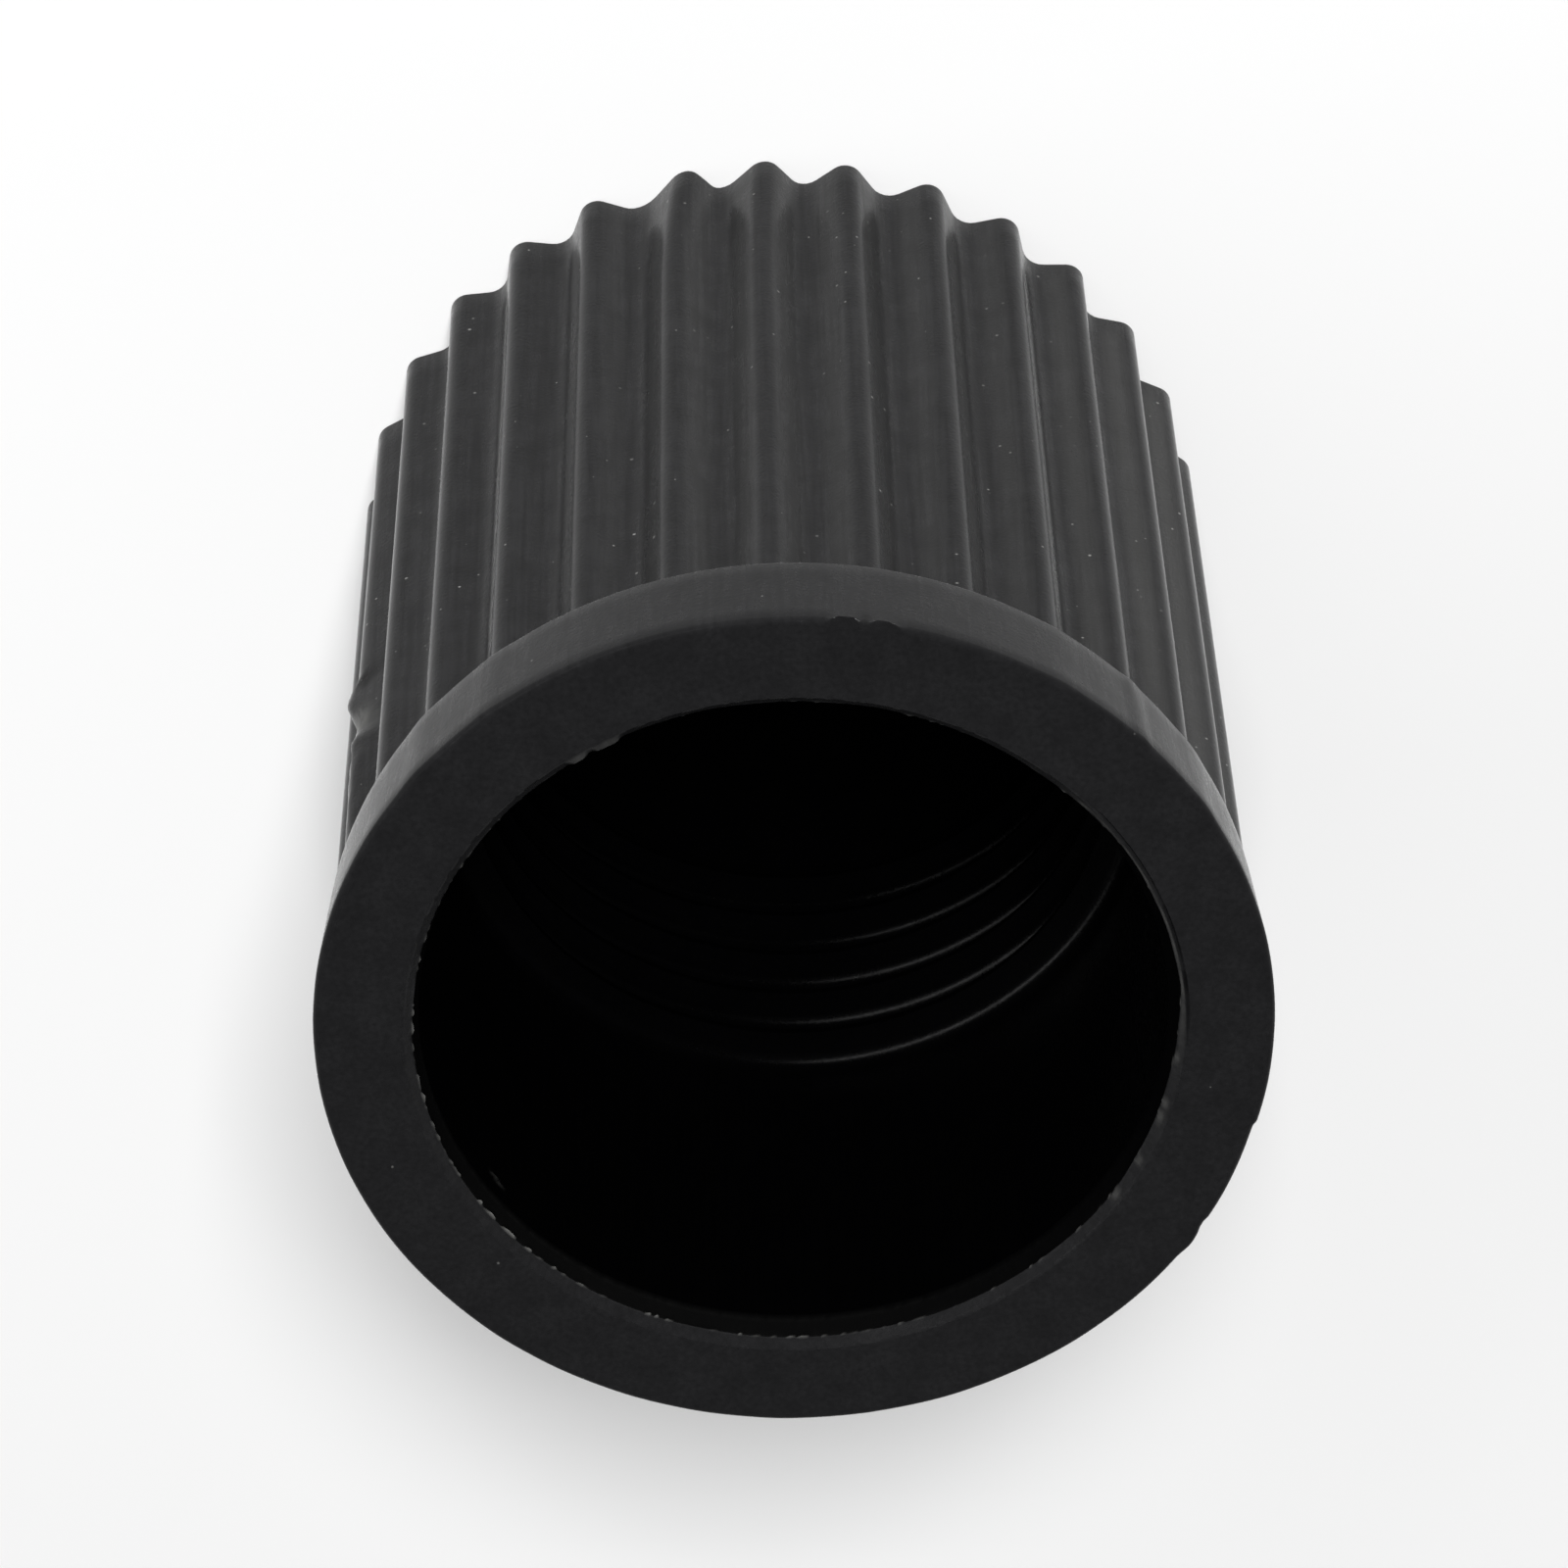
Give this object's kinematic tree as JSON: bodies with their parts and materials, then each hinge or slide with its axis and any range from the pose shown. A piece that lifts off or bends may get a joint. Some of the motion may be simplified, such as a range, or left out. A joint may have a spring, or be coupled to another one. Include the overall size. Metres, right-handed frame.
{
  "type": "tyre valve cap",
  "caption": "Small black moulded plastic cap with a ribbed, slightly tapered barrel, a plain collar at the mouth and a blind threaded bore, screwed onto a tyre valve stem to keep out dirt.",
  "frame": {"origin": "centre of the flat outer face of the closed head, on which the cap stands", "axes": "+Z along the axis of the bore, out of the mouth; +X through the crest of a rib"},
  "size_m": [0.01, 0.01, 0.0104],
  "materials": {
    "black_plastic": "matte, as moulded"
  },
  "bodies": {
    "root": {"valve_cap": "black_plastic"}
  },
  "joints": []
}
